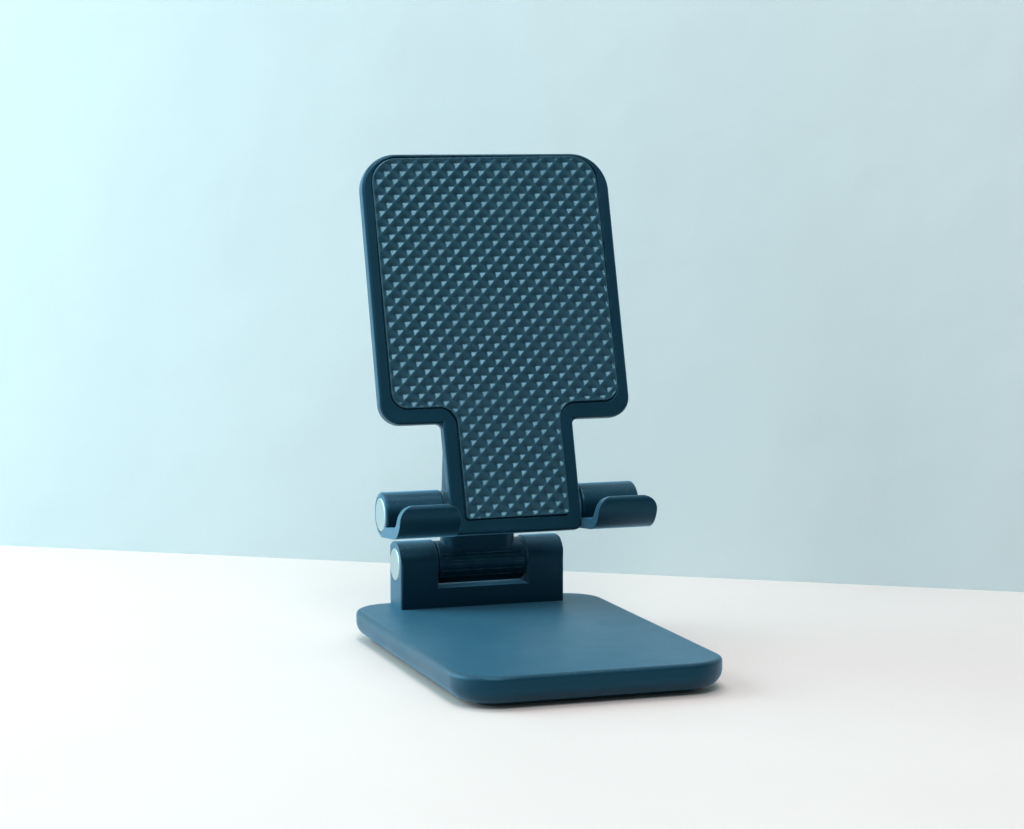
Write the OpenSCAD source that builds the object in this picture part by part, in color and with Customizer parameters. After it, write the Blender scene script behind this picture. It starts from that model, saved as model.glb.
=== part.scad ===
// Foldable phone stand: weighted base, telescoping arm, tilting T-shaped holder, two folding hooks.
// Millimetres. +X right, +Y to the back, +Z up. The origin is the middle of the footprint.

/* [Base] */
// Width of the base
base_w = 78; // [74:1:84]
// Depth of the base, front to back
base_d = 116; // [112:1:124]
// Height of the base's top face above the table
base_h = 9.2; // [8.8:0.1:10]
// Corner radius of the base seen from above
base_r = 12.5; // [10:0.5:16]
// Rounding of the top edge of the base
base_edge_r = 1.3; // [0.8:0.1:1.6]
// Radius of the undercut along the lower side of the base
base_under_r = 4.6; // [3.8:0.1:4.8]
// Thickness of the anti-slip pad under the base
foot_t = 1.2; // [1:0.1:1.4]

/* [Lower hinge] */
// Height of the lower hinge axis above the table
hinge_z = 22; // [21.5:0.1:23]
// Distance of the lower hinge axis from the middle of the base
hinge_y = 51; // [48:0.5:51]
// Width over the two ears of the hinge block
block_w = 51.7; // [48:0.1:54]
// Radius of the round top of the ears
ear_r = 7; // [6.8:0.1:7.4]
// Depth of the block behind the hinge axis
block_back = 5.5; // [5.4:0.1:5.6]
// Width of the window between the ears
window_w = 28.7; // [27:0.1:30]
// Radius of the round caps in the barrel ends
cap_r = 4.95; // [4.6:0.05:5.2]
// Radius of the lower hinge shaft
shaft_r = 2; // [1.8:0.1:2.2]
// Radius of the arm's knuckle
knuckle_r = 6.5; // [6.3:0.1:6.5]

/* [Arm] */
// Angle by which the arm leans to the front
arm_lean = 6; // [4:0.5:8]
// Width of the arm sleeve
arm_w = 22.8; // [22:0.1:24]
// Thickness of the arm sleeve
arm_t = 9; // [8.8:0.1:9.4]
// Length of the sleeve from the lower hinge axis
sleeve_l = 47; // [46:0.5:47]
// Distance between the lower and the upper hinge axis
arm_l = 76.4; // [76:0.1:80]
// Radius of the arm slide's top knuckle
slide_knuckle_r = 5; // [4.6:0.1:5]
// Radius of the upper hinge bolt
bolt_r = 1.8; // [1.6:0.1:2]

/* [Holder] */
// Angle by which the holder leans back
holder_lean = 16.3; // [12:0.1:24]
// Width of the holder's wide part
holder_w = 77; // [76.6:0.1:78]
// Top of the holder above the hook axis
holder_top = 105.4; // [100:0.2:108]
// Lower edge of the wide part above the hook axis
wide_bottom = 24.9; // [24.5:0.1:26]
// Lower edge of the neck below the hook axis
neck_bottom = 7.95; // [7.6:0.05:8.4]
// Width of the neck
neck_w = 40; // [39.4:0.1:40.2]
// Upper corner radius of the wide part
top_r = 11.2; // [10:0.2:12]
// Lower corner radius of the wide part
low_r = 6.3; // [5.5:0.1:7]
// Edge rounding of the holder
holder_edge_r = 0.9; // [0.6:0.1:1]
// Upper hinge axis above the hook axis
hinge_up = 60; // [58:0.5:62]
// Upper hinge axis behind the hook axis
hinge_behind = 5.65; // [5.4:0.05:6.2]
// Front face of the holder in front of the hook axis
face_y = 7.55; // [7.45:0.05:7.7]
// Border of the frame beside the pad
pad_border = 3.3; // [3:0.1:3.8]
// How far the pad stands proud of the frame
pad_proud = 0.6; // [0.4:0.1:0.8]

/* [Hooks] */
// Radius of the hook barrels
barrel_r = 6.5; // [6.4:0.05:6.5]
// Outer end of a hook barrel from the middle of the stand
barrel_end = 38.9; // [38.5:0.1:38.9]
// Inner end of a hook barrel from the middle of the stand
barrel_start = 20.8; // [20.8:0.05:21]
// Front face of the hook's lip in front of its axis
hook_reach = 20.7; // [20:0.1:21.5]
// Outer bend radius of the hook
hook_bend_r = 8; // [7.6:0.1:8]
// Thickness of the hook's tray and lip
hook_t = 3; // [2.6:0.1:3.1]
// Top of the lip above the hook axis
lip_top = 3.2; // [3.1:0.1:4]
// Angle by which the open hook hangs below a right angle to the holder
hook_drop = 10.8; // [8:0.1:12]

/* [Hidden] */
$fn = 64;
fine_fn = 96;

// base
shell_z = 1.4;
cover_top = 3;
cavity_top = 7.2;
wall = 3.2;
cover_in = 6;
gap = 0.15;
foot_in = 7.5;
screw_x = 26;
screw_y = [-42, 28];
boss_r = 3.3;
screw_r = 0.95;
head_r = 2;
weight_w = 42;
weight_d = 84;
weight_h = 3.8;
weight_y = -6;

// lower hinge
run = 0.05;
window_gap = 0.3;
window_z = hinge_z - knuckle_r - window_gap;
cap_t = 1.3;
cap_out = 0.1;
cap_fit = 0.08;
washer_t = 0.5;
washer_r = 4;
block_edge = 0.8;
block_screw_x = 20;
knuckle_w = window_w - 1.3;
groove_angles = [-24, -6, 12, 31];
groove_w = 1;
groove_depth = 0.3;
groove_in = 0.8;

// arm
corner_r = 3.9;
cavity_w = 17.2;
cavity_t = 5.2;
cavity_z = 6.7;
collar_h = 3;
foot_w = 17;
foot_bar_t = 5;
bar_w = 16.4;
bar_t = 4.4;
foot_l = 12.9;
spring_l = 9;
spring_t = 0.3;

// upper hinge
slide_knuckle_w = 15.2;
lug_t = 4.4;
lug_r = 5;
lug_in = 8.3;
bolt_head_t = 1.4;

// holder
front_t = 2.35;
back_t = 1.3;
recess = 0.95;
pad_top = holder_top - 0.9;
pad_low = wide_bottom + 4.4;
pad_foot = 3.9;
pad_fit = 0.1;
neck_border = 3.95;
neck_pad_w = neck_w - 2 * neck_border;
concave_r = 1.8;
pad_top_r = 8;
pad_low_r = 5;
pad_concave_r = 5;
holder_screws_at = [[-27, 44], [27, 44], [-27, 92], [27, 92]];

// hooks
barrel_rim = 0.9;
lip_corner_r = 4.5;
bar_in = 1.7;

// cross recess of a screw head
cross_l = 2.4;
cross_w = 0.45;
cross_depth = 0.4;

// ---------- helpers ----------

// Rectangle with round corners, centred.
module round_rect(w, d, r) {
    square([w - 2 * r, d], center = true);
    square([w, d - 2 * r], center = true);
    for (sx = [-1, 1])
        for (sy = [-1, 1])
            translate([sx * (w / 2 - r), sy * (d / 2 - r)])
                circle(r = r);
}

// Rectangle with round corners of two radii (low_c at -Y, high_c at +Y), centred.
module two_radius_rect(w, d, low_c, high_c) {
    for (s = [-1, 1]) {
        translate([s * (w / 2 - low_c), low_c - d / 2])
            circle(r = low_c);
        translate([s * (w / 2 - high_c), d / 2 - high_c])
            circle(r = high_c);
    }
    translate([-w / 2, low_c - d / 2])
        square([w, d - low_c - high_c]);
    translate([low_c - w / 2, -d / 2])
        square([w - 2 * low_c, d / 2]);
    translate([high_c - w / 2, 0])
        square([w - 2 * high_c, d / 2]);
}

// Strip e high and r wide whose upper outer corner is a quarter circle.
module rounded_end(r, e) {
    square([r - e, e]);
    translate([r - e, 0])
        intersection() {
            circle(r = e);
            square(e);
        }
}

// Half section of a slab: flat to x = r, with its top and bottom edges rounded.
module edge_section(r, h, top, bottom) {
    translate([0, bottom])
        square([r, h - top - bottom]);
    if (top > 0)
        translate([0, h - top])
            rounded_end(r, top);
    if (bottom > 0)
        translate([0, bottom])
            mirror([0, 1])
                rounded_end(r, bottom);
}

// Slab with round corners of two radii (low_c at -Y, high_c at +Y) and rounded edges.
module soft_slab(w, d, h, low_c, high_c, top, bottom) {
    for (s = [-1, 1]) {
        translate([s * (w / 2 - low_c), low_c - d / 2, 0])
            rotate_extrude()
                edge_section(low_c, h, top, bottom);
        translate([s * (w / 2 - high_c), d / 2 - high_c, 0])
            rotate_extrude()
                edge_section(high_c, h, top, bottom);
        // long sides
        translate([s * (w / 2 - low_c), d / 2 - high_c, 0])
            rotate([90, 0, 0])
                linear_extrude(d - low_c - high_c)
                    mirror([s < 0 ? 1 : 0, 0])
                        edge_section(low_c, h, top, bottom);
    }
    // front and back sides
    translate([low_c - w / 2, low_c - d / 2, 0])
        rotate([90, 0, 90])
            linear_extrude(w - 2 * low_c)
                mirror([1, 0])
                    edge_section(low_c, h, top, bottom);
    translate([high_c - w / 2, d / 2 - high_c, 0])
        rotate([90, 0, 90])
            linear_extrude(w - 2 * high_c)
                edge_section(high_c, h, top, bottom);
    translate([low_c - w / 2, low_c - d / 2, 0])
        cube([w - 2 * low_c, d - low_c - high_c, h]);
}

// Cylinder along X from x = a to x = b.
module rod(a, b, r, fn = 64) {
    translate([a, 0, 0])
        rotate([0, 90, 0])
            cylinder(h = b - a, r = r, $fn = fn);
}

// Washer along X from x = a to x = b.
module ring(a, b, r, hole) {
    difference() {
        rod(a, b, r);
        rod(a - 1, b + 1, hole);
    }
}

// Barrel along X from x = a to x = b with rounded rims.
module barrel(a, b, r, rim_a, rim_b) {
    translate([a, 0, 0])
        rotate([0, 90, 0])
            rotate_extrude($fn = fine_fn)
                edge_section(r, b - a, rim_b, rim_a);
}

// Cross recess cut downwards from z = 0.
module cross_recess() {
    for (turn = [0, 90])
        rotate([0, 0, turn])
            translate([-cross_l / 2, -cross_w / 2, -cross_depth])
                cube([cross_l, cross_w, 2 * cross_depth]);
}

// The child and its mirror image in the plane x = 0.
module both_sides() {
    children();
    mirror([1, 0, 0])
        children();
}

// Round cap with a soft rim, along X, outer face at b.
module cap(a, b, r) {
    translate([a, 0, 0])
        rotate([0, 90, 0])
            rotate_extrude($fn = fine_fn)
                edge_section(r, b - a, 0.4, 0);
}

module at_lower_hinge() {
    translate([0, hinge_y, hinge_z])
        children();
}

module at_arm() {
    at_lower_hinge()
        rotate([arm_lean, 0, 0])
            children();
}

// Holder frame: origin on the hook axis, +Z up along the holder, -Y out of its face.
module at_holder() {
    at_arm()
        translate([0, 0, arm_l])
            rotate([-arm_lean - holder_lean, 0, 0])
                translate([0, -hinge_behind, -hinge_up])
                    children();
}

// ---------- base ----------

module base_outline(inset, r) {
    round_rect(base_w - 2 * inset, base_d - 2 * inset, r);
}

module base_shell() {
    color([0.06, 0.07, 0.08])
        difference() {
            translate([0, 0, shell_z])
                soft_slab(base_w, base_d, base_h - shell_z, base_r, base_r, base_edge_r, base_under_r);
            // room for the weight
            difference() {
                translate([0, 0, cover_top])
                    linear_extrude(cavity_top - cover_top)
                        base_outline(wall, base_r - wall);
                for (sx = [-1, 1])
                    for (y = screw_y)
                        translate([sx * screw_x, y, cover_top - 1])
                            cylinder(h = cavity_top, r = boss_r);
            }
            // seat of the cover
            translate([0, 0, shell_z - 1])
                linear_extrude(cover_top - shell_z + 1)
                    base_outline(cover_in - gap, base_r - cover_in + gap);
            for (sx = [-1, 1]) {
                for (y = screw_y)
                    translate([sx * screw_x, y, cover_top - 1])
                        cylinder(h = 4.7, r = screw_r + 0.02);
                translate([sx * block_screw_x, hinge_y, cavity_top - 1])
                    cylinder(h = 4, r = 1.35);
            }
        }
}

module base_cover() {
    color([0.08, 0.09, 0.1])
        difference() {
            translate([0, 0, foot_t])
                linear_extrude(cover_top - foot_t)
                    base_outline(cover_in, base_r - cover_in);
            for (sx = [-1, 1])
                for (y = screw_y)
                    translate([sx * screw_x, y, foot_t - 1]) {
                        cylinder(h = 4, r = screw_r + 0.15);
                        cylinder(h = 2.25, r = head_r + 0.1);
                    }
        }
}

module base_weight() {
    color([0.55, 0.56, 0.58])
        translate([0, weight_y, cover_top])
            linear_extrude(weight_h)
                round_rect(weight_w, weight_d, 3);
}

module base_pad() {
    color([0.03, 0.03, 0.035])
        linear_extrude(foot_t)
            base_outline(foot_in, base_r - foot_in);
}

module base_screws() {
    color([0.6, 0.6, 0.62])
        for (sx = [-1, 1])
            for (y = screw_y)
                translate([sx * screw_x, y, foot_t + 0.1]) {
                    cylinder(h = 1.15, r = head_r);
                    cylinder(h = 5, r = screw_r);
                }
}

// ---------- lower hinge ----------

module hinge_block() {
    color([0.05, 0.06, 0.07])
        difference() {
            intersection() {
                at_lower_hinge()
                    union() {
                        rod(-block_w / 2, block_w / 2, ear_r, fine_fn);
                        translate([-block_w / 2, -ear_r, base_h - hinge_z])
                            cube([block_w, 2 * ear_r, hinge_z - base_h]);
                    }
                // round upright edges, with the back cut flat
                translate([0, hinge_y + (block_back - ear_r) / 2, 0])
                    linear_extrude(hinge_z + 2 * ear_r)
                        round_rect(block_w, ear_r + block_back, block_edge);
                // round outer edges of the ears
                translate([0, hinge_y + 2 * ear_r, base_h])
                    rotate([90, 0, 0])
                        linear_extrude(4 * ear_r)
                            translate([0, (hinge_z + ear_r - base_h) / 2])
                                union() {
                                    round_rect(block_w, hinge_z + ear_r - base_h, block_edge);
                                    translate([-block_w / 2, -(hinge_z + ear_r - base_h) / 2])
                                        square([block_w, 2 * block_edge]);
                                }
            }
            // window for the arm
            translate([-window_w / 2, hinge_y - 2 * ear_r, window_z])
                cube([window_w, 4 * ear_r, 3 * ear_r]);
            at_lower_hinge() {
                rod(-block_w / 2 + 2, block_w / 2 - 2, shaft_r + 0.02);
                both_sides()
                    rod(block_w / 2 - cap_t + cap_out, block_w / 2 + 1, cap_r + cap_fit, fine_fn);
            }
            for (sx = [-1, 1])
                translate([sx * block_screw_x, hinge_y, base_h - 1])
                    cylinder(h = 6, r = 1.12);
        }
}

module block_screws() {
    color([0.6, 0.6, 0.62])
        for (sx = [-1, 1])
            translate([sx * block_screw_x, hinge_y, 0]) {
                translate([0, 0, cavity_top - 1.3])
                    cylinder(h = 1.3, r = 2.2);
                translate([0, 0, cavity_top - 1.3])
                    cylinder(h = 7.3, r = 1.1);
            }
}

module lower_shaft() {
    color([0.7, 0.71, 0.73])
        at_lower_hinge()
            rod(-block_w / 2 + 2.3, block_w / 2 - 2.3, shaft_r);
}

module lower_washers() {
    color([0.7, 0.7, 0.72])
        at_lower_hinge()
            both_sides()
                ring(window_w / 2 - washer_t - 0.03, window_w / 2 - 0.03, washer_r, shaft_r + run);
}

module lower_caps() {
    color([0.85, 0.87, 0.9])
        at_lower_hinge()
            both_sides()
                cap(block_w / 2 - cap_t + cap_out, block_w / 2 + cap_out, cap_r);
}

// ---------- arm ----------

module arm_sleeve() {
    color([0.06, 0.07, 0.08])
        at_arm()
            difference() {
                union() {
                    barrel(-knuckle_w / 2, knuckle_w / 2, knuckle_r, 0.5, 0.5);
                    linear_extrude(sleeve_l)
                        round_rect(arm_w, arm_t, corner_r);
                }
                // grooves across the front of the knuckle
                for (a = groove_angles)
                    rotate([-a, 0, 0])
                        translate([groove_in - knuckle_w / 2, -knuckle_r - 1, -groove_w / 2])
                            cube([knuckle_w - 2 * groove_in, 1 + groove_depth, groove_w]);
                rod(-knuckle_w, knuckle_w, shaft_r + run);
                translate([0, 0, cavity_z])
                    linear_extrude(sleeve_l)
                        round_rect(cavity_w, cavity_t, 1.5);
                // seat of the collar
                translate([0, 0, sleeve_l - collar_h])
                    linear_extrude(2 * collar_h)
                        round_rect(cavity_w + 1.6, cavity_t + 1.2, 2);
            }
}

module sleeve_collar() {
    color([0.12, 0.12, 0.13])
        at_arm()
            translate([0, 0, sleeve_l - collar_h + 0.05])
                linear_extrude(collar_h)
                    difference() {
                        round_rect(cavity_w + 1.5, cavity_t + 1.1, 2);
                        round_rect(bar_w + 0.2, bar_t + 0.2, 1.5);
                    }
}

module arm_slide() {
    foot_top = sleeve_l - collar_h - 0.1;
    color([0.1, 0.11, 0.12])
        at_arm()
            difference() {
                union() {
                    translate([0, 0, foot_top - foot_l])
                        linear_extrude(foot_l)
                            round_rect(foot_w, foot_bar_t, 1.4);
                    translate([0, 0, foot_top - 1])
                        linear_extrude(arm_l - foot_top + 1)
                            round_rect(bar_w, bar_t, 1.4);
                    translate([0, 0, arm_l])
                        rod(-slide_knuckle_w / 2, slide_knuckle_w / 2, slide_knuckle_r, fine_fn);
                }
                // the bar's corners stay clear of the lugs
                for (s = [-1, 1])
                    translate([s * (slide_knuckle_w / 2 + 5), 0, arm_l])
                        cube([10, 12, 14.6], center = true);
                translate([0, 0, arm_l])
                    rod(-20, 20, bolt_r + run);
                // pocket of the spring
                translate([-3.1, -foot_bar_t / 2 - 1, foot_top - foot_l + 1.7])
                    cube([6.2, 2.1, spring_l + 0.4]);
            }
}

module slide_spring() {
    foot_top = sleeve_l - collar_h - 0.1;
    bow_r = (spring_l * spring_l / 4 + 0.64) / 1.6;
    color([0.7, 0.7, 0.72])
        at_arm()
            translate([-3, -cavity_t / 2 + 0.02, foot_top - foot_l + 1.9 + spring_l / 2])
                intersection() {
                    translate([0, bow_r, 0])
                        rotate([0, 90, 0])
                            difference() {
                                cylinder(h = 6, r = bow_r, $fn = 192);
                                translate([0, 0, -1])
                                    cylinder(h = 8, r = bow_r - spring_t, $fn = 192);
                            }
                    translate([-1, -1, -spring_l / 2])
                        cube([8, 2, spring_l]);
                }
}

// ---------- upper hinge ----------

module at_upper_hinge() {
    at_holder()
        translate([0, hinge_behind, hinge_up])
            children();
}

module upper_bolt() {
    color([0.6, 0.6, 0.62])
        at_upper_hinge() {
            rod(-lug_in - lug_t, lug_in + lug_t + 2.4, bolt_r);
            difference() {
                rod(-lug_in - lug_t - bolt_head_t, -lug_in - lug_t, 3.3);
                translate([-lug_in - lug_t - bolt_head_t, 0, 0])
                    rotate([0, -90, 0])
                        cross_recess();
            }
        }
}

module upper_washers() {
    color([0.7, 0.7, 0.72])
        at_upper_hinge()
            both_sides()
                ring(lug_in - washer_t - 0.05, lug_in - 0.05, 3.8, bolt_r + run);
}

module upper_nut() {
    color([0.6, 0.6, 0.62])
        at_upper_hinge()
            difference() {
                rod(lug_in + lug_t, lug_in + lug_t + 1.9, 3.4, 6);
                rod(lug_in + lug_t - 1, lug_in + lug_t + 4, bolt_r + 0.01);
            }
}

// ---------- holder ----------

// Fillet of the inner corner under the wide part: corner at the origin, neck on the -X side.
module inner_corner(r) {
    translate([-0.5, -r])
        difference() {
            square([r + 0.5, r + 1]);
            translate([r + 0.5, 0])
                circle(r = r);
        }
}

// Flat T plate standing in the holder frame, from y = -face_y backwards; its edges are rounded
// by front_edge on the face side and back_edge behind.
module t_plate(y, t, front_edge, back_edge) {
    wide_h = holder_top - wide_bottom;
    neck_h = wide_bottom + neck_bottom + 3 * low_r;
    translate([0, y + t, 0])
        rotate([90, 0, 0]) {
            translate([0, wide_bottom + wide_h / 2, 0])
                soft_slab(holder_w, wide_h, t, low_r, top_r, front_edge, back_edge);
            translate([0, neck_h / 2 - neck_bottom, 0])
                soft_slab(neck_w, neck_h, t, 2, 2, front_edge, back_edge);
            // inner corners between neck and wide part
            both_sides()
                translate([neck_w / 2, wide_bottom, back_edge])
                    linear_extrude(t - front_edge - back_edge)
                        inner_corner(concave_r);
        }
}

// Outline of the silicone pad, grown by g, in the plane of the holder.
module pad_outline(g) {
    wide_h = pad_top - pad_low;
    neck_h = pad_low + pad_foot + 12;
    w = holder_w - 2 * pad_border;
    translate([0, pad_low + wide_h / 2])
        two_radius_rect(w + 2 * g, wide_h + 2 * g, pad_low_r + g, pad_top_r + g);
    translate([0, neck_h / 2 - pad_foot])
        round_rect(neck_pad_w + 2 * g, neck_h + 2 * g, 1.2 + g);
    for (side = [0, 1])
        mirror([side, 0])
            translate([neck_pad_w / 2 + g, pad_low - g])
                inner_corner(pad_concave_r);
}

module holder_front() {
    color([0.06, 0.07, 0.08])
        at_holder()
            difference() {
                t_plate(-face_y, front_t, holder_edge_r, 0);
                translate([0, recess - face_y, 0])
                    rotate([90, 0, 0])
                        linear_extrude(recess + 1)
                            pad_outline(pad_fit);
                for (p = holder_screws_at)
                    translate([p[0], front_t - face_y + 1, p[1]])
                        rotate([90, 0, 0])
                            cylinder(h = 2.2, r = 0.82);
            }
}

module lug() {
    rod(lug_in, lug_in + lug_t, lug_r, fine_fn);
    translate([lug_in, front_t + back_t - face_y - hinge_behind - 0.5, -lug_r])
        cube([lug_t, face_y + hinge_behind - front_t - back_t + 0.5, 2 * lug_r]);
}

module holder_back() {
    plate_y = front_t - face_y;
    color([0.06, 0.07, 0.08])
        at_holder()
            difference() {
                union() {
                    t_plate(plate_y, back_t, 0, holder_edge_r);
                    // lugs of the upper hinge
                    both_sides()
                        translate([0, hinge_behind, hinge_up])
                            lug();
                    // centre barrel of the hooks
                    intersection() {
                        rod(0.3 - neck_w / 2, neck_w / 2 - 0.3, barrel_r, fine_fn);
                        translate([-neck_w / 2, plate_y + 0.5, -barrel_r])
                            cube([neck_w, 20, 2 * barrel_r]);
                    }
                    // stiffening rib from the barrel up to the lugs
                    for (s = [-1, 1])
                        translate([s * (lug_in + lug_t / 2) - 0.8, plate_y + 0.5, 0])
                            cube([1.6, 4.2, hinge_up]);
                }
                rod(-30, 30, shaft_r + 0.02);
                translate([0, hinge_behind, hinge_up])
                    rod(-20, 20, bolt_r + run);
                for (p = holder_screws_at)
                    translate([p[0], plate_y - 1, p[1]])
                        rotate([-90, 0, 0]) {
                            cylinder(h = 4, r = 0.95);
                            translate([0, 0, 1.4])
                                cylinder(h = 3, r = 2.1);
                        }
            }
}

module holder_screws() {
    color([0.6, 0.6, 0.62])
        at_holder()
            for (p = holder_screws_at)
                translate([p[0], front_t - face_y, p[1]])
                    rotate([-90, 0, 0]) {
                        difference() {
                            translate([0, 0, 0.42])
                                cylinder(h = 0.8, r = 2);
                            translate([0, 0, 1.22])
                                cross_recess();
                        }
                        translate([0, 0, -1.1])
                            cylinder(h = 1.6, r = 0.8);
                    }
}

module holder_pad() {
    color([0.05, 0.06, 0.07])
        at_holder()
            translate([0, recess - face_y, 0])
                rotate([90, 0, 0])
                    linear_extrude(recess + pad_proud)
                        pad_outline(0);
}

// ---------- hooks ----------

module at_hook() {
    at_holder()
        rotate([hook_drop, 0, 0])
            children();
}

module hook_bar() {
    color([0.7, 0.71, 0.73])
        at_holder()
            rod(bar_in - barrel_end, barrel_end - bar_in, shaft_r);
}

module hook_washers() {
    color([0.7, 0.7, 0.72])
        at_holder()
            both_sides()
                ring(neck_w / 2 + 0.1, barrel_start - 0.1, washer_r, shaft_r + run);
}

// Section of the tray and lip: forward is +x, up is +y, origin on the hook axis.
module hook_section() {
    bend_x = hook_reach - hook_bend_r;
    bend_y = hook_bend_r - barrel_r;
    translate([0, -barrel_r])
        square([bend_x, hook_t]);
    intersection() {
        difference() {
            translate([bend_x, bend_y])
                circle(r = hook_bend_r, $fn = fine_fn);
            translate([bend_x, bend_y])
                circle(r = hook_bend_r - hook_t, $fn = fine_fn);
        }
        translate([bend_x, bend_y - hook_bend_r])
            square(hook_bend_r);
    }
    translate([hook_reach - hook_t, bend_y])
        square([hook_t, lip_top - bend_y - hook_t / 2]);
    translate([hook_reach - hook_t / 2, lip_top - hook_t / 2])
        circle(r = hook_t / 2);
}

module hook_right() {
    w = barrel_end - barrel_start;
    color([0.06, 0.07, 0.08])
        at_hook()
            difference() {
                union() {
                    barrel(barrel_start, barrel_end, barrel_r, barrel_rim, barrel_rim);
                    intersection() {
                        translate([barrel_start, 0, 0])
                            rotate([90, 0, 90])
                                linear_extrude(w)
                                    mirror([1, 0])
                                        hook_section();
                        // round upper corners of the lip
                        translate([barrel_start + w / 2, 5, lip_top - 20])
                            rotate([90, 0, 0])
                                linear_extrude(40)
                                    round_rect(w, 40, lip_corner_r);
                    }
                }
                rod(0, barrel_end - bar_in + 0.2, shaft_r + run);
                rod(barrel_end - cap_t + cap_out, barrel_end + 1, cap_r + cap_fit, fine_fn);
            }
}

module hook_left() {
    mirror([1, 0, 0])
        hook_right();
}

module hook_cap_right() {
    color([0.85, 0.87, 0.9])
        at_hook()
            cap(barrel_end - cap_t + cap_out, barrel_end + cap_out, cap_r);
}

module hook_cap_left() {
    mirror([1, 0, 0])
        hook_cap_right();
}

base_shell();
base_cover();
base_weight();
base_pad();
base_screws();
hinge_block();
block_screws();
lower_shaft();
lower_washers();
lower_caps();
arm_sleeve();
sleeve_collar();
arm_slide();
slide_spring();
upper_bolt();
upper_washers();
upper_nut();
holder_front();
holder_back();
holder_screws();
holder_pad();
hook_bar();
hook_washers();
hook_left();
hook_right();
hook_cap_left();
hook_cap_right();
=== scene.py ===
"""Foldable phone stand: finishes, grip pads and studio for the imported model."""

import math

import bpy
import numpy as np
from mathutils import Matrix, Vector
from mathutils.geometry import delaunay_2d_cdt


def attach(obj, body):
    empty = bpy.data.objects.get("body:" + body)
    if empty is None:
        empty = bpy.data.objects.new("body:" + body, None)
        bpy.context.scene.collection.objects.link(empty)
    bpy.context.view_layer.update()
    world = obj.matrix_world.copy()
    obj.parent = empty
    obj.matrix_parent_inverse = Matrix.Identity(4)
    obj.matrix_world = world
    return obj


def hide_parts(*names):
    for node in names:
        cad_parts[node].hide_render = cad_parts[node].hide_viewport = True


bl_info = {
    "name": "Foldable phone stand",
    "version": (1, 0, 0),
    "blender": (4, 5, 0),
    "location": "3D View > Sidebar > Phone stand",
    "description": "Finishes, grip pads and studio of a foldable phone stand",
    "category": "Object",
}

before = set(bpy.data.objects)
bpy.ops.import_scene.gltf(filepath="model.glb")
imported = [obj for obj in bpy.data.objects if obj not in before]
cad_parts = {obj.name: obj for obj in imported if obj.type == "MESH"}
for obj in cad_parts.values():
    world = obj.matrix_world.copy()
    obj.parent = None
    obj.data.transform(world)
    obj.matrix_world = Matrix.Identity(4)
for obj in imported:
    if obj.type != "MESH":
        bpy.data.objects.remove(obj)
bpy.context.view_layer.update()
MM = 0.001

# chamfer on the edge of each pad, and how much of its width it drops
GRIP_CHAMFER = 0.15 * MM
FOOT_CHAMFER = 0.1 * MM
CHAMFER_DROP = 0.7
# clear distance of the relief's points from the outline, as a share of their step
RIM_CLEARANCE = 0.45
# power of the rounding on the ridges between the pits
RIDGE_POWER = 6
# where a stud starts to fall and how wide its flank is, as shares of the pitch
STUD_HALF = 0.33
STUD_FLANK = 0.10
# points on one pitch of the anti-slip studs
STUD_POINTS = 6
# points tested at a time against an outline
BATCH = 2000
# smallest cosine of a face that looks roughly, or squarely, in a direction
ROUGHLY = 0.7
SQUARELY = 0.99
# distances within which two levels, or two points, count as the same
SAME_LEVEL = 1e-5
SAME_POINT = 1e-9
# how much paler the rubber's stud tops are than the painted shade in its channels
RUBBER_TOP_GAIN_OVER_PAINTED_SHADE = 1.8

# half size of the table, half width and height of the wall, the wall's foot and its slant
TABLE_HALF = 4
WALL_SIZE = 3
WALL_MIDDLE = Vector((0.039, 0.161, 0))
WALL_SLANT = math.radians(-34.1)

CAMERA_PLACE = (-0.2490, -0.7168, 0.1555)
CAMERA_TURN = math.radians(-18.74)
CAMERA_TILT = math.radians(6.29)
SENSOR_WIDTH = 36


# ---------- settings ----------


def colour_setting(name, description, default):
    """A colour, red, green and blue from 0 to 1."""
    return bpy.props.FloatVectorProperty(
        name=name,
        description=description,
        subtype="COLOR",
        size=3,
        min=0,
        max=1,
        default=default,
    )


def factor_setting(name, description, default):
    """A share from 0 to 1."""
    return bpy.props.FloatProperty(
        name=name, description=description, subtype="FACTOR", min=0, max=1, default=default
    )


def length_setting(name, description, default):
    """A length in metres."""
    return bpy.props.FloatProperty(
        name=name, description=description, unit="LENGTH", default=default
    )


def power_setting(name, description, default):
    """A power of a light in watts."""
    return bpy.props.FloatProperty(
        name=name, description=description, unit="POWER", default=default
    )


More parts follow.
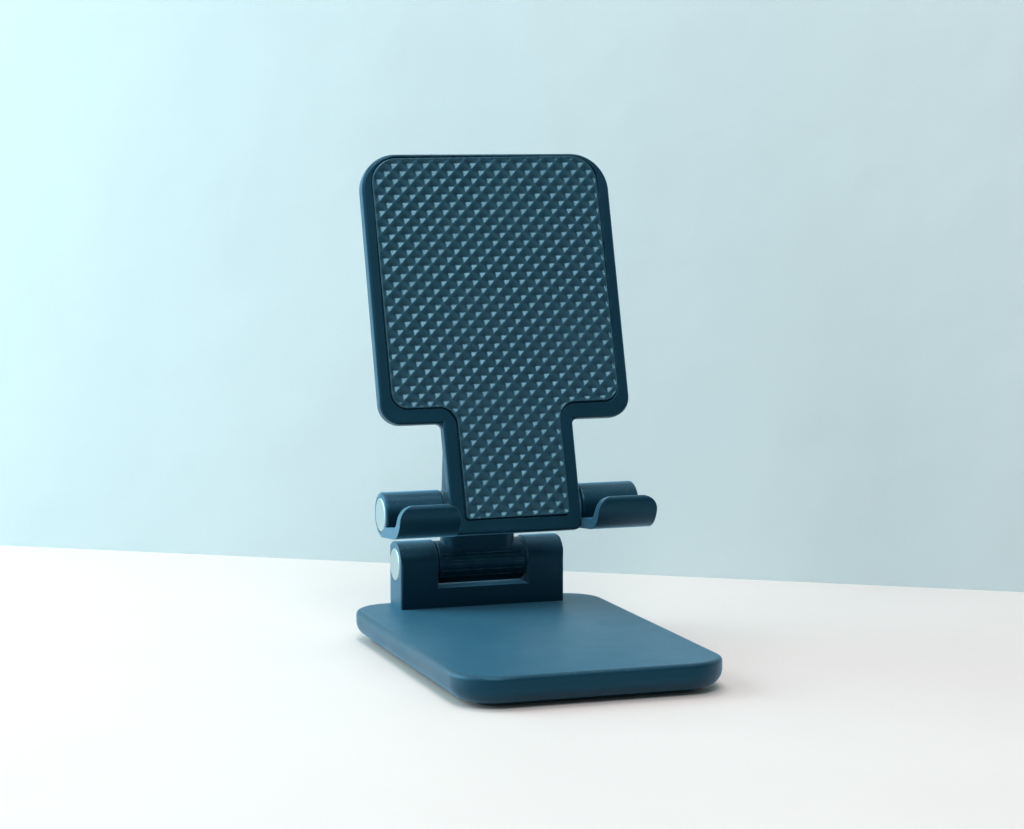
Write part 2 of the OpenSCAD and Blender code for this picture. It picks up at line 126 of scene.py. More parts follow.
class FinishSettings(bpy.types.PropertyGroup):
    """Colours and surfaces of the stand's materials"""

    plastic_colour: colour_setting(
        "Plastic colour", "Colour of the moulded plastic", (0.0010, 0.0110, 0.0190)
    )
    base_colour: colour_setting(
        "Base colour",
        "Colour of the textured plastic of the base",
        (0.0020, 0.0180, 0.0300),
    )
    plastic_shine: colour_setting(
        "Plastic shine", "Colour of the shine on the moulded plastic", (0.20, 0.65, 1.0)
    )
    # painted highlight: the pale edge colour stands in for the rim light on the edges,
    # along with some edge wear
    edge_wear_and_painted_highlight_colour: colour_setting(
        "Edge wear and painted highlight colour",
        "Colour of edge wear and of the painted highlight on edges",
        (0.050, 0.130, 0.180),
    )
    dust_colour: colour_setting(
        "Dust colour", "Colour of the settled dust", (0.34, 0.48, 0.52)
    )
    plastic_roughness: factor_setting(
        "Plastic roughness", "How matte the moulded plastic is", 0.42
    )
    plastic_grain: length_setting(
        "Plastic grain", "Distance between the grains of the moulded texture", 0.00035
    )
    edge_radius: length_setting(
        "Edge radius", "Softening of the sharp moulded edges", 0.00030
    )
    silicone_colour: colour_setting(
        "Silicone colour", "Colour of the grip pad", (0.0020, 0.0200, 0.0340)
    )
    # painted shade: the pits of the pad keep the darker silicone colour, and the ridges get
    # this paler one
    silicone_ridge_colour_over_painted_shade: colour_setting(
        "Silicone ridge colour over painted shade",
        "Colour of the ridges, paler than the painted shade in the pits",
        (0.010, 0.042, 0.064),
    )
    silicone_roughness: factor_setting(
        "Silicone roughness", "How matte the grip pad is", 0.34
    )
    rubber_colour: colour_setting(
        "Rubber colour", "Colour of the anti-slip pad under the base", (0.012, 0.013, 0.014)
    )
    cap_colour: colour_setting(
        "Cap colour", "Colour of the silver end caps", (0.40, 0.47, 0.485)
    )
    cap_roughness: factor_setting("Cap roughness", "How matte the end caps are", 0.38)
    steel_colour: colour_setting(
        "Steel colour", "Colour of shafts, washers and screws", (0.55, 0.57, 0.59)
    )


class GripPadSettings(bpy.types.PropertyGroup):
    """Pitted relief of the silicone grip pad"""

    column_step: length_setting(
        "Column step", "Distance between neighbouring columns of pits", 0.00242
    )
    row_step: length_setting(
        "Row step", "Distance between neighbouring rows of pits", 0.00237
    )
    relief: length_setting("Relief", "Depth of the pits", 0.00062)
    points_per_step: bpy.props.IntProperty(
        name="Points per step",
        description="Mesh points across one column step",
        default=7,
        min=3,
        max=10,
    )
    flat_rim: length_setting(
        "Flat rim", "Width over which the relief fades out at the outline", 0.0006
    )
    margin: length_setting("Margin", "Gap between the pad and its recess", 0.00035)
    skew: bpy.props.FloatProperty(
        name="Skew",
        description="How far the glued pad is turned in its recess",
        unit="ROTATION",
        default=math.radians(0.45),
    )


class FootPadSettings(bpy.types.PropertyGroup):
    """Studded relief of the anti-slip pad"""

    stud_pitch: length_setting("Stud pitch", "Distance between the anti-slip studs", 0.0030)
    relief: length_setting("Relief", "Height of the studs", 0.00035)
    flat_rim: length_setting(
        "Flat rim", "Width over which the studs fade out at the outline", 0.0025
    )


class StudioSettings(bpy.types.PropertyGroup):
    """Floor, wall, lights and camera"""

    floor_colour: colour_setting(
        "Floor colour", "Colour of the table", (0.655, 0.555, 0.525)
    )
    wall_colour: colour_setting(
        "Wall colour", "Colour of the wall behind", (0.50, 0.55, 0.56)
    )
    light_colour: colour_setting(
        "Light colour", "Colour of the window light", (0.93, 0.98, 1.0)
    )
    sky_colour: colour_setting(
        "Sky colour", "Colour of the even light from all round", (0.55, 0.90, 1.0)
    )
    window_power: power_setting(
        "Window power", "Power of the large light on the left", 34.0
    )
    ceiling_power: power_setting(
        "Ceiling power", "Power of the light overhead, in front", 11.0
    )
    side_power: power_setting(
        "Side power", "Power of the light panel at the back left", 5.0
    )
    top_power: power_setting("Top power", "Power of the light straight above", 5.0)
    side_colour: colour_setting(
        "Side colour", "Colour of the light panel at the back left", (0.48, 0.90, 1.0)
    )
    sky_strength: bpy.props.FloatProperty(
        name="Sky strength",
        description="Strength of the even light from all round",
        default=0.30,
        min=0,
    )
    lens: bpy.props.FloatProperty(
        name="Lens",
        description="Focal length of the camera",
        unit="CAMERA",
        default=94.3,
    )


# ---------- shader groups ----------


def new_group(name, inputs, outputs):
    """An empty shader node group with the named sockets."""
    group = bpy.data.node_groups.new(name, "ShaderNodeTree")
    for label, kind, value in inputs:
        item = group.interface.new_socket(label, in_out="INPUT", socket_type=kind)
        if value is not None:
            item.default_value = value
    for label, kind in outputs:
        group.interface.new_socket(label, in_out="OUTPUT", socket_type=kind)
    start = group.nodes.new("NodeGroupInput")
    end = group.nodes.new("NodeGroupOutput")
    return group, start.outputs, end.inputs


def add(tree, kind, links=None, **settings):
    """A new node with its settings; links sets or connects its inputs."""
    node = tree.nodes.new(kind)
    for key, value in settings.items():
        setattr(node, key, value)
    for key, value in (links or {}).items():
        if isinstance(value, bpy.types.NodeSocket):
            tree.links.new(value, node.inputs[key])
        else:
            node.inputs[key].default_value = value
    return node


def maths(tree, operation, a, b, clamp=False):
    """Output of a Math node of two values or sockets."""
    return add(
        tree, "ShaderNodeMath", {0: a, 1: b}, operation=operation, use_clamp=clamp
    ).outputs[0]


def own_place(tree):
    """Place in the object's own frame."""
    return add(tree, "ShaderNodeTexCoord").outputs["Object"]


def noise(tree, place, scale, detail, roughness=0.5):
    """Noise from 0 to 1, its scale in patches per metre."""
    links = {"Vector": place, "Scale": scale, "Detail": detail, "Roughness": roughness}
    return add(tree, "ShaderNodeTexNoise", links).outputs["Fac"]


def ramp(tree, value, start, end):
    """0 up to the start, 1 from the end on, and even in between."""
    links = {"Value": value, "From Min": start, "From Max": end}
    return add(tree, "ShaderNodeMapRange", links, clamp=True).outputs[0]


def moulded_grain_group():
    """Fine spark-eroded grain with slow changes of colour and gloss."""
    group, given, result = new_group(
        "Moulded grain",
        [
            ("Colour", "NodeSocketColor", (0.01, 0.01, 0.01, 1)),
            ("Roughness", "NodeSocketFloat", 0.45),
            ("Grain per metre", "NodeSocketFloat", 2500.0),
            ("Variation", "NodeSocketFloat", 0.25),
        ],
        [
            ("Colour", "NodeSocketColor"),
            ("Roughness", "NodeSocketFloat"),
            ("Height", "NodeSocketFloat"),
        ],
    )
    place = own_place(group)
    fine = noise(group, place, given["Grain per metre"], 3.0, 0.6)
    slow = noise(group, place, 70.0, 4.0, 0.55)
    shift = maths(group, "SUBTRACT", slow, 0.5)
    swing = maths(group, "MULTIPLY", shift, given["Variation"])
    rough = maths(group, "ADD", given["Roughness"], maths(group, "MULTIPLY", swing, 0.6))
    speck = maths(group, "MULTIPLY", maths(group, "SUBTRACT", fine, 0.5), 0.08)
    group.links.new(maths(group, "ADD", rough, speck, True), result["Roughness"])
    gain = maths(group, "ADD", 1.0, maths(group, "MULTIPLY", swing, 1.4))
    shade = add(
        group,
        "ShaderNodeVectorMath",
        {0: given["Colour"], "Scale": gain},
        operation="SCALE",
    )
    group.links.new(shade.outputs[0], result["Colour"])
    group.links.new(fine, result["Height"])
    return group


def edge_wear_and_painted_highlight_group():
    """Softened edges, and a mask of edge wear and of a painted highlight along the edges.
    """
    group, given, result = new_group(
        "Edge wear and painted highlight",
        [
            ("Radius", "NodeSocketFloat", 0.0003),
            ("Amount", "NodeSocketFloat", 1.0),
        ],
        [("Mask", "NodeSocketFloat"), ("Normal", "NodeSocketVector")],
    )
    soft = add(group, "ShaderNodeBevel", {"Radius": given["Radius"]}, samples=6)
    flat = add(group, "ShaderNodeNewGeometry").outputs["Normal"]
    match = add(
        group,
        "ShaderNodeVectorMath",
        {0: soft.outputs[0], 1: flat},
        operation="DOT_PRODUCT",
    ).outputs["Value"]
    # mask of the softened edges, where edge wear and a painted edge highlight go
    edge = ramp(group, match, 0.995, 0.90)
    broken = ramp(group, noise(group, own_place(group), 260.0, 5.0), 0.38, 0.62)
    mask = maths(group, "MULTIPLY", maths(group, "MULTIPLY", edge, broken), given["Amount"])
    group.links.new(mask, result["Mask"])
    group.links.new(soft.outputs[0], result["Normal"])
    return group


def dust_group():
    """Light dust on faces that look up."""
    group, given, result = new_group(
        "Settled dust",
        [("Amount", "NodeSocketFloat", 0.3)],
        [("Mask", "NodeSocketFloat")],
    )
    place = own_place(group)
    dots = ramp(group, noise(group, place, 1500.0, 2.0, 0.4), 0.66, 0.74)
    cloud = noise(group, place, 45.0, 3.0)
    normal = add(group, "ShaderNodeNewGeometry").outputs["Normal"]
    up = add(group, "ShaderNodeSeparateXYZ", {0: normal}).outputs["Z"]
    facing = ramp(group, up, 0.35, 0.95)
    veil = maths(group, "MULTIPLY", cloud, 0.18)
    both = maths(group, "ADD", maths(group, "MULTIPLY", dots, 0.6), veil)
    mask = maths(group, "MULTIPLY", maths(group, "MULTIPLY", both, facing), given["Amount"])
    group.links.new(mask, result["Mask"])
    return group


def brushed_group():
    """Fine parallel brush marks of satin metal."""
    group, given, result = new_group(
        "Brush marks",
        [
            ("Roughness", "NodeSocketFloat", 0.35),
            ("Marks per metre", "NodeSocketFloat", 3000.0),
            ("Spread", "NodeSocketFloat", 0.15),
        ],
        [("Roughness", "NodeSocketFloat"), ("Height", "NodeSocketFloat")],
    )
    # drawn out along Y, so the noise turns into parallel marks
    long = add(
        group,
        "ShaderNodeVectorMath",
        {0: own_place(group), 1: (1.0, 0.05, 1.0)},
        operation="MULTIPLY",
    ).outputs[0]
    marks = noise(group, long, given["Marks per metre"], 4.0, 0.7)
    swing = maths(group, "MULTIPLY", maths(group, "SUBTRACT", marks, 0.5), given["Spread"])
    rough = maths(group, "ADD", given["Roughness"], swing, True)
    group.links.new(rough, result["Roughness"])
    group.links.new(marks, result["Height"])
    return group


GROUP_MAKERS = {
    "Moulded grain": moulded_grain_group,
    "Edge wear and painted highlight": edge_wear_and_painted_highlight_group,
    "Settled dust": dust_group,
    "Brush marks": brushed_group,
}


def place_group(tree, name, **values):
    """A node of the named group with its own values. The group is built on first use."""
    node = tree.nodes.new("ShaderNodeGroup")
    node.node_tree = bpy.data.node_groups.get(name) or GROUP_MAKERS[name]()
    for key, value in values.items():
        node.inputs[key.replace("_", " ")].default_value = value
    return node


# ---------- materials ----------


def blank_material(name):
    """A material with only a Principled shader. Returns material, tree and shader."""
    material = bpy.data.materials.new(name)
    material.use_nodes = True
    tree = material.node_tree
    tree.nodes.clear()
    shader = tree.nodes.new("ShaderNodeBsdfPrincipled")
    end = tree.nodes.new("ShaderNodeOutputMaterial")
    tree.links.new(shader.outputs[0], end.inputs["Surface"])
    return material, tree, shader


def mixed(tree, mask, under, over):
    """Colour socket that goes from a colour socket to a fixed colour by a mask."""
    mix = add(tree, "ShaderNodeMix", {"Factor": mask, 6: under}, data_type="RGBA")
    mix.inputs[7].default_value = (*over, 1)
    return mix.outputs[2]


def add_bump(tree, shader, height, distance, normal=None):
    """Bump of a height socket on the shader, over a normal socket if there is one."""
    links = {"Height": height, "Distance": distance, "Strength": 1.0}
    if normal is not None:
        links["Normal"] = normal
    bump = add(tree, "ShaderNodeBump", links)
    tree.links.new(bump.outputs[0], shader.inputs["Normal"])


def moulded_plastic(name, settings, colour, roughness, sheen, dust, grain_depth=0.000012):
    """Matte black plastic with grain, edge wear with a painted highlight, and a little
    dust.
    """
    material, tree, shader = blank_material(name)
    grain = place_group(
        tree,
        "Moulded grain",
        Colour=(*colour, 1),
        Roughness=roughness,
        Grain_per_metre=1 / settings.plastic_grain,
        Variation=0.3,
    )
    edge = place_group(tree, "Edge wear and painted highlight", Radius=settings.edge_radius, Amount=0.8)
    specks = place_group(tree, "Settled dust", Amount=dust)
    plain = grain.outputs["Colour"]
    # painted highlight: the edges get the pale colour in place of the rim light on them,
    # along with edge wear
    with_painted_light = mixed(tree, edge.outputs["Mask"], plain, settings.edge_wear_and_painted_highlight_colour)
    dusty = mixed(tree, specks.outputs["Mask"], with_painted_light, settings.dust_colour)
    tree.links.new(dusty, shader.inputs["Base Color"])
    tree.links.new(grain.outputs["Roughness"], shader.inputs["Roughness"])
    add_bump(tree, shader, grain.outputs["Height"], grain_depth, edge.outputs["Normal"])
    shader.inputs["Specular IOR Level"].default_value = 0.65
    shader.inputs["Specular Tint"].default_value = (*settings.plastic_shine, 1)
    # the fine texture scatters light at a low angle
    shader.inputs["Sheen Weight"].default_value = sheen
    shader.inputs["Sheen Roughness"].default_value = 0.35
    shader.inputs["Sheen Tint"].default_value = (*settings.plastic_shine, 1)
    return material


def satin_metal(name, colour, roughness, marks=3000.0, spread=0.15, depth=0.000004):
    """Brushed metal with softened edges."""
    material, tree, shader = blank_material(name)
    brushed = place_group(
        tree,
        "Brush marks",
        Roughness=roughness,
        Marks_per_metre=marks,
        Spread=spread,
    )
    edge = place_group(tree, "Edge wear and painted highlight", Radius=0.00015, Amount=0.3)
    shader.inputs["Base Color"].default_value = (*colour, 1)
    shader.inputs["Metallic"].default_value = 1.0
    tree.links.new(brushed.outputs["Roughness"], shader.inputs["Roughness"])
    add_bump(tree, shader, brushed.outputs["Height"], depth, edge.outputs["Normal"])
    return material


def elastomer(name, settings, colour, top_colour_over_painted_shade, roughness, dust, grain=2200.0, depth=0.00003):
    """Silicone or rubber with a fine skin texture, paler on the tops of its relief, with
    painted shade in its hollows.
    """
    material, tree, shader = blank_material(name)
    skin = place_group(
        tree,
        "Moulded grain",
        Colour=(*colour, 1),
        Roughness=roughness,
        Grain_per_metre=grain,
        Variation=0.35,
    )
    specks = place_group(tree, "Settled dust", Amount=dust)
    rise = add(tree, "ShaderNodeAttribute", attribute_name="rise").outputs["Fac"]
    # painted shade: the hollows of the relief keep the darker colour, and the tops turn
    # paler by the attribute rise
    with_painted_light = mixed(tree, ramp(tree, rise, 0.35, 1.0), skin.outputs["Colour"], top_colour_over_painted_shade)
    dusty = mixed(tree, specks.outputs["Mask"], with_painted_light, settings.dust_colour)
    tree.links.new(dusty, shader.inputs["Base Color"])
    tree.links.new(skin.outputs["Roughness"], shader.inputs["Roughness"])
    add_bump(tree, shader, skin.outputs["Height"], depth)
    shader.inputs["Specular IOR Level"].default_value = 0.85
    shader.inputs["Specular Tint"].default_value = (0.42, 0.80, 1.0, 1)
    return material


def give(material, *names):
    """Puts one material on CAD pieces."""
    for name in names:
        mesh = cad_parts[name].data
        mesh.materials.clear()
        mesh.materials.append(material)


# ---------- pads ----------


def flat_direction(node, towards):
    """Normal of a CAD piece's largest flat face that looks roughly towards a direction."""
    areas = {}
    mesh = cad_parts[node].data
    mesh.calc_loop_triangles()
    for tri in mesh.loop_triangles:
        if tri.normal.dot(towards) > ROUGHLY:
            key = tuple(round(c, 3) for c in tri.normal)
            total, normal = areas.get(key, (0.0, Vector()))
            areas[key] = (total + tri.area, normal + tri.normal * tri.area)
    return max(areas.values())[1].normalized() if areas else Vector(towards)


def face_outline(node, normal):
    """Closed outline of the flat face of a CAD piece that looks along normal."""
    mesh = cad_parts[node].data
    mesh.calc_loop_triangles()
    level = max(v.co.dot(normal) for v in mesh.vertices)
    onward = {}
    for tri in mesh.loop_triangles:
        corners = [mesh.vertices[i].co for i in tri.vertices]
        lowest = min(c.dot(normal) for c in corners)
        if tri.normal.dot(normal) < SQUARELY or lowest < level - SAME_LEVEL:
            continue
        keys = [tuple(round(x, 6) for x in c) for c in corners]
        for a, b in ((0, 1), (1, 2), (2, 0)):
            if onward.get(keys[b]) and keys[a] in onward[keys[b]]:
                onward[keys[b]].remove(keys[a])
            else:
                onward.setdefault(keys[a], []).append(keys[b])
    onward = {a: ends for a, ends in onward.items() if ends}
    first = min(onward)
    loop, here = [first], onward[first][0]
    while here != first:
        loop.append(here)
        here = onward[here][0]
    return [Vector(p) for p in loop], level


def resample(points, step):
    """The closed outline with its corners kept and points every step or less."""
    out = []
    for a, b in zip(points, np.roll(points, -1, axis=0)):
        count = max(1, int(math.ceil(np.linalg.norm(b - a) / step)))
        out += [a + (b - a) * k / count for k in range(count)]
    return np.array(out)


def inset(points, distance):
    """The closed anticlockwise outline moved inwards."""
    ahead = np.roll(points, -1, axis=0) - points
    behind = points - np.roll(points, 1, axis=0)
    side_a = np.stack([-ahead[:, 1], ahead[:, 0]], 1)
    side_b = np.stack([-behind[:, 1], behind[:, 0]], 1)
    side_a /= np.linalg.norm(side_a, axis=1)[:, None]
    side_b /= np.linalg.norm(side_b, axis=1)[:, None]
    middle = side_a + side_b
    middle /= np.linalg.norm(middle, axis=1)[:, None]
    stretch = np.maximum((middle * side_a).sum(1), 0.5)
    return points + middle * (distance / stretch)[:, None]


def inside(points, loop, clear):
    """The points inside the outline by more than clear, and their distances from it."""
    ends = np.roll(loop, -1, axis=0)
    keep = np.zeros(len(points), bool)
    gaps = np.zeros(len(points))
    for low in range(0, len(points), BATCH):
        p = points[low : low + BATCH, None, :]
        along = ends - loop
        share = ((p - loop) * along).sum(2) / (along**2).sum(1)
        near = loop + np.clip(share, 0, 1)[..., None] * along
        gap = np.sqrt(((p - near) ** 2).sum(2)).min(1)
        above = (loop[:, 1] > p[..., 1]) != (ends[:, 1] > p[..., 1])
        rise = np.where(ends[:, 1] == loop[:, 1], 1, ends[:, 1] - loop[:, 1])
        cross = loop[:, 0] + (p[..., 1] - loop[:, 1]) / rise * along[:, 0]
        crossings = (above & (p[..., 0] < cross)).sum(1)
        keep[low : low + BATCH] = (crossings % 2 == 1) & (gap > clear)
        gaps[low : low + BATCH] = gap
    return points[keep], gaps[keep]


def embossed_pad(name, node, towards, step, depth_at, depth, margin, turn, edge, flat_rim):
    """A pad with a relief on one face, cut to the outline of its CAD piece.

    towards is roughly the direction that the face looks in, and step the distance of its
    points. margin is the gap all round, and turn the angle that the pad is turned by.

    depth_at gives how far each point of that face lies below the highest level, at most
    depth. The relief fades out over flat_rim at the outline, and the pad's edge is a
    chamfer of the width edge. The attribute rise is 1 on the highest points and 0 in the
    deepest.
    """
    normal = flat_direction(node, Vector(towards))
    across = Vector((1, 0, 0))
    up = normal.cross(across)
    corners, level = face_outline(node, normal)
    floor = min(v.co.dot(normal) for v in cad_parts[node].data.vertices)
    flat = np.array([(p.dot(across), p.dot(up)) for p in corners])
    x, y = flat.T
    if (x * np.roll(y, -1) - np.roll(x, -1) * y).sum() < 0:
        flat = flat[::-1]
    centre = (flat.min(0) + flat.max(0)) / 2
    c, s = math.cos(turn), math.sin(turn)
    rim = inset(resample(flat, step), margin)
    rim = (rim - centre) @ np.array([[c, s], [-s, c]]) + centre
    ring = inset(rim, edge)
    low, high = rim.min(0), rim.max(0)
    columns, rows = (np.arange(a, b, step) for a, b in zip(low, high))
    grid = np.stack(np.meshgrid(columns, rows, indexing="ij"), -1).reshape(-1, 2)
    grid, gaps = inside(grid, ring, RIM_CLEARANCE * step)
    count = len(rim)
    points = [Vector(p) for p in np.concatenate([ring, grid])]
    loop = [(i, (i + 1) % count) for i in range(count)]
    flat_points, _, faces, _, _, _ = delaunay_2d_cdt(points, loop, [], 1, SAME_POINT)
    if len(flat_points) != len(points):
        raise RuntimeError(f"{name}: the outline crosses itself")
    place = np.concatenate([np.array([p[:] for p in flat_points]), rim, rim])
    fade = np.zeros(len(place))
    fade[count : -2 * count] = np.clip(gaps / flat_rim, 0, 1)
    height = level - depth_at(place - centre) * fade
    height[-2 * count : -count] -= edge * CHAMFER_DROP
    height[-count:] = floor
    base = np.array([across[:], up[:], normal[:]])
    verts = np.column_stack([place, height]) @ base
    top, foot = len(flat_points), len(flat_points) + count
    quads = []
    for i in range(count):
        j = (i + 1) % count
        quads.append((i, top + i, top + j, j))
        quads.append((top + i, foot + i, foot + j, top + j))
    back = tuple(foot + i for i in reversed(range(count)))
    mesh = bpy.data.meshes.new(name)
    mesh.from_pydata(verts.tolist(), [], [tuple(f) for f in faces] + quads + [back])
    mesh.validate()
    mesh.update()
    smooth = np.ones(len(mesh.polygons), bool)
    smooth[len(faces) + 1 :: 2] = False
    smooth[-1] = False
    mesh.polygons.foreach_set("use_smooth", smooth)
    rise = mesh.attributes.new("rise", "FLOAT", "POINT")
    rise.data.foreach_set("value", 1 - depth_at(place - centre) * fade / depth)
    pad = bpy.data.objects.new(name, mesh)
    bpy.context.scene.collection.objects.link(pad)
    return pad


def pitted_depth(settings):
    """Relief of small square pits with slanted walls, set corner to corner."""

    def depth_at(place):
        u = place[:, 0] / settings.column_step
        v = place[:, 1] / settings.row_step
        p = (u - v + 1) % 2 - 1
        q = (u + v + 1) % 2 - 1
        # four flat faces that fall to the middle of each pit, and rounded ridges between
        rise = (np.abs(p) ** RIDGE_POWER + np.abs(q) ** RIDGE_POWER) ** (1 / RIDGE_POWER)
        return settings.relief * (1 - np.clip(rise, 0, 1))

    return depth_at


def studded_depth(settings):
    """Relief of square studs with shallow channels between them."""

    def depth_at(place):
        t = np.abs((place / settings.stud_pitch) % 1 - 0.5).max(1)
        return settings.relief * np.clip((t - STUD_HALF) / STUD_FLANK, 0, 1)

    return depth_at


# ---------- operators ----------


class PHONESTAND_OT_plastic(bpy.types.Operator):
    """Gives the moulded pieces their matte black plastic"""

    bl_idname = "phonestand.plastic"
    bl_label = "Moulded plastic"

    def execute(self, context):
        s = context.scene.stand_finish
        plastic, matte = s.plastic_colour, s.plastic_roughness
        for name, extra, sheen, dust, colour, nodes in (
            ("Base plastic", 0.0, 0.38, 0.25, s.base_colour, ("base_shell",)),
            ("Cover plastic", 0.15, 0.2, 0.0, plastic, ("base_cover", "sleeve_collar")),
            ("Hinge plastic", 0.0, 1.0, 0.15, plastic, ("hinge_block",)),
            ("Arm plastic", -0.04, 0.2, 0.1, plastic, ("arm_sleeve",)),
            ("Slide plastic", -0.08, 0.2, 0.05, plastic, ("arm_slide",)),
            ("Holder plastic", 0.0, 0.35, 0.1, plastic, ("holder_front", "holder_back")),
            ("Hook plastic", -0.04, 1.0, 0.2, plastic, ("hook_left", "hook_right")),
        ):
            give(moulded_plastic(name, s, colour, matte + extra, sheen, dust), *nodes)
        return {"FINISHED"}


class PHONESTAND_OT_metal(bpy.types.Operator):
    """Gives shafts, washers, screws and end caps their metal"""

    bl_idname = "phonestand.metal"
    bl_label = "Metal parts"

    def execute(self, context):
        s = context.scene.stand_finish
        caps = satin_metal(
            "Silver cap", s.cap_colour, s.cap_roughness, marks=2500.0, spread=0.12
        )
        give(caps, "lower_caps", "hook_cap_left", "hook_cap_right")
        steel = satin_metal("Plain steel", s.steel_colour, 0.30)
        give(
            steel,
            "base_weight",
            "lower_shaft",
            "lower_washers",
            "slide_spring",
            "upper_washers",
            "hook_bar",
            "hook_washers",
        )
        zinc = satin_metal(
            "Zinc plated steel", s.steel_colour, 0.36, marks=1800.0, spread=0.25
        )
        give(
            zinc,
            "base_screws",
            "block_screws",
            "upper_bolt",
            "upper_nut",
            "holder_screws",
        )
        return {"FINISHED"}


class PHONESTAND_OT_grip_pad(bpy.types.Operator):
    """Builds the silicone grip pad with its pitted relief"""

    bl_idname = "phonestand.grip_pad"
    bl_label = "Grip pad"

    def execute(self, context):
        finish, pad = context.scene.stand_finish, context.scene.stand_grip_pad
        step = pad.column_step / pad.points_per_step
        piece = embossed_pad(
            "grip_pad",
            "holder_pad",
            (0, -1, 0),
            step,
            pitted_depth(pad),
            pad.relief,
            margin=pad.margin,
            turn=pad.skew,
            edge=GRIP_CHAMFER,
            flat_rim=pad.flat_rim,
        )
        skin = elastomer(
            "Black silicone",
            finish,
            finish.silicone_colour,
            finish.silicone_ridge_colour_over_painted_shade,
            finish.silicone_roughness,
            dust=0.1,
        )
        piece.data.materials.append(skin)
        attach(piece, "holder")
        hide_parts("holder_pad")
        return {"FINISHED"}


class PHONESTAND_OT_foot_pad(bpy.types.Operator):
    """Builds the studded anti-slip pad under the base"""

    bl_idname = "phonestand.foot_pad"
    bl_label = "Anti-slip pad"

    def execute(self, context):
        finish, foot = context.scene.stand_finish, context.scene.stand_foot_pad
        piece = embossed_pad(
            "anti_slip_pad",
            "base_pad",
            (0, 0, -1),
            foot.stud_pitch / STUD_POINTS,
            studded_depth(foot),
            foot.relief,
            margin=0.0,
            turn=0.0,
            edge=FOOT_CHAMFER,
            flat_rim=foot.flat_rim,
        )
        colour = finish.rubber_colour
        # painted shade: the channels between the studs keep the darker rubber colour
        top_colour_over_painted_shade = [c * RUBBER_TOP_GAIN_OVER_PAINTED_SHADE for c in colour]
        skin = elastomer("Black rubber", finish, colour, top_colour_over_painted_shade, roughness=0.7, dust=0.0)
        piece.data.materials.append(skin)
        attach(piece, "base")
        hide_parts("base_pad")
        return {"FINISHED"}


def stage_material(name, colour, roughness, bump_depth, one_sided=False):
    """Plain painted surface with a slight unevenness, clear from behind if one-sided."""
    material, tree, shader = blank_material(name)
    uneven = noise(tree, own_place(tree), 18.0, 6.0)
    tone = add(tree, "ShaderNodeMix", {"Factor": uneven}, data_type="RGBA")
    tone.inputs[6].default_value = (*[c * 0.97 for c in colour], 1)
    tone.inputs[7].default_value = (*[min(1, c * 1.03) for c in colour], 1)
    tree.links.new(tone.outputs[2], shader.inputs["Base Color"])
    shader.inputs["Roughness"].default_value = roughness
    shader.inputs["Specular IOR Level"].default_value = 0.2
    add_bump(tree, shader, uneven, bump_depth)
    if one_sided:
        back = add(tree, "ShaderNodeNewGeometry").outputs["Backfacing"]
        clear = add(tree, "ShaderNodeBsdfTransparent").outputs[0]
        choice = add(tree, "ShaderNodeMixShader", {0: back, 1: shader.outputs[0], 2: clear})
        end = next(n for n in tree.nodes if n.type == "OUTPUT_MATERIAL")
        tree.links.new(choice.outputs[0], end.inputs["Surface"])
    return material


def stage_sheet(name, corners, material):
    """A flat four-cornered piece of the studio."""
    mesh = bpy.data.meshes.new(name)
    mesh.from_pydata(corners, [], [(0, 1, 2, 3)])
    mesh.materials.append(material)
    sheet = bpy.data.objects.new(name, mesh)
    bpy.context.scene.collection.objects.link(sheet)
    return sheet


def soft_light(name, place, target, size, power, colour):
    """A square area light that looks at a target and can't be seen itself."""
    lamp = bpy.data.lights.new(name, "AREA")
    lamp.size = size
    lamp.energy = power
    lamp.color = colour
    light = bpy.data.objects.new(name, lamp)
    light.location = place
    aim = Vector(target) - Vector(place)
    light.rotation_euler = aim.to_track_quat("-Z", "Y").to_euler()
    light.visible_camera = False
    bpy.context.scene.collection.objects.link(light)


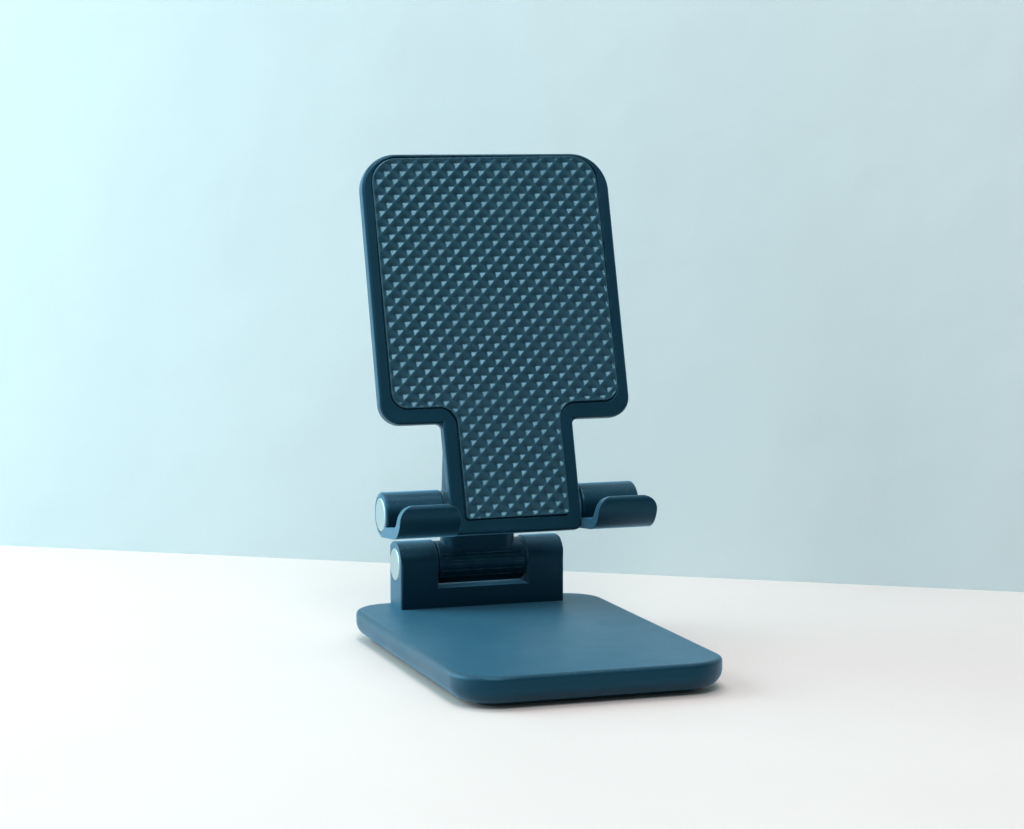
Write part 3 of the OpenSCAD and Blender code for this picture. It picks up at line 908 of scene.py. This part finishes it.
class PHONESTAND_OT_studio(bpy.types.Operator):
    """Sets up the table, the wall, the soft lights and the camera"""

    bl_idname = "phonestand.studio"
    bl_label = "Studio"

    def execute(self, context):
        scene, s = context.scene, context.scene.stand_studio
        floor = stage_material(
            "Table paint", s.floor_colour, roughness=0.6, bump_depth=0.0003
        )
        h = TABLE_HALF
        stage_sheet("table_top", [(-h, -h, 0), (h, -h, 0), (h, h, 0), (-h, h, 0)], floor)
        # the wall stands behind at a slant and is seen only from the front
        wall = stage_material(
            "Wall paint", s.wall_colour, roughness=0.8, bump_depth=0.0012, one_sided=True
        )
        along = Vector((math.cos(WALL_SLANT), math.sin(WALL_SLANT), 0)) * WALL_SIZE
        left, right = WALL_MIDDLE - along, WALL_MIDDLE + along
        rise = Vector((0, 0, WALL_SIZE))
        stage_sheet("wall", [left, right, right + rise, left + rise], wall)

        world = bpy.data.worlds.new("Studio air")
        world.use_nodes = True
        air = world.node_tree.nodes["Background"]
        air.inputs["Color"].default_value = (*s.sky_colour, 1)
        air.inputs["Strength"].default_value = s.sky_strength
        scene.world = world
        white = s.light_colour
        for name, place, target, size, power, colour in (
            ("Window", (-2.2, 0.0, 1.1), (0, 0, 0.05), 2.2, s.window_power, white),
            ("Ceiling", (-0.2, -0.85, 1.2), (0, 0.02, 0.08), 0.55, s.ceiling_power, white),
            ("Top", (-0.05, 0.12, 0.95), (0, 0.02, 0), 0.5, s.top_power, white),
            ("Side", (-0.42, 0.34, 0.26), (0, 0, 0.04), 0.5, s.side_power, s.side_colour),
        ):
            soft_light(name, place, target, size, power, colour)

        camera = bpy.data.cameras.new("Camera")
        camera.lens = s.lens
        camera.sensor_width = SENSOR_WIDTH
        camera.clip_start = 0.05
        eye = bpy.data.objects.new("Camera", camera)
        level, lift = math.cos(CAMERA_TILT), math.sin(CAMERA_TILT)
        back = Vector((math.sin(CAMERA_TURN) * level, -math.cos(CAMERA_TURN) * level, lift))
        eye.location = CAMERA_PLACE
        eye.rotation_euler = (-back).to_track_quat("-Z", "Y").to_euler()
        scene.collection.objects.link(eye)
        scene.camera = eye
        scene.view_settings.view_transform = "Standard"
        return {"FINISHED"}


class PHONESTAND_PT_panel(bpy.types.Panel):
    """Settings and steps of the phone stand"""

    bl_idname = "PHONESTAND_PT_panel"
    bl_label = "Phone stand"
    bl_space_type = "VIEW_3D"
    bl_region_type = "UI"
    bl_category = "Phone stand"

    def draw(self, context):
        for group, steps in PANEL_ROWS:
            box = self.layout.box()
            settings = getattr(context.scene, group)
            for key in settings.bl_rna.properties.keys():
                if key not in ("rna_type", "name"):
                    box.prop(settings, key)
            for step in steps:
                box.operator(step)


PANEL_ROWS = (
    ("stand_finish", ("phonestand.plastic", "phonestand.metal")),
    ("stand_grip_pad", ("phonestand.grip_pad",)),
    ("stand_foot_pad", ("phonestand.foot_pad",)),
    ("stand_studio", ("phonestand.studio",)),
)

SETTINGS = {
    "stand_finish": FinishSettings,
    "stand_grip_pad": GripPadSettings,
    "stand_foot_pad": FootPadSettings,
    "stand_studio": StudioSettings,
}

CLASSES = (
    *SETTINGS.values(),
    PHONESTAND_OT_plastic,
    PHONESTAND_OT_metal,
    PHONESTAND_OT_grip_pad,
    PHONESTAND_OT_foot_pad,
    PHONESTAND_OT_studio,
    PHONESTAND_PT_panel,
)


def register():
    for cls in CLASSES:
        bpy.utils.register_class(cls)
    for name, cls in SETTINGS.items():
        setattr(bpy.types.Scene, name, bpy.props.PointerProperty(type=cls))


def unregister():
    for name in SETTINGS:
        delattr(bpy.types.Scene, name)
    for cls in reversed(CLASSES):
        bpy.utils.unregister_class(cls)


def main():
    register()
    bpy.ops.phonestand.studio()
    bpy.ops.phonestand.plastic()
    bpy.ops.phonestand.metal()
    bpy.ops.phonestand.grip_pad()
    bpy.ops.phonestand.foot_pad()


if __name__ == "__main__":
    main()
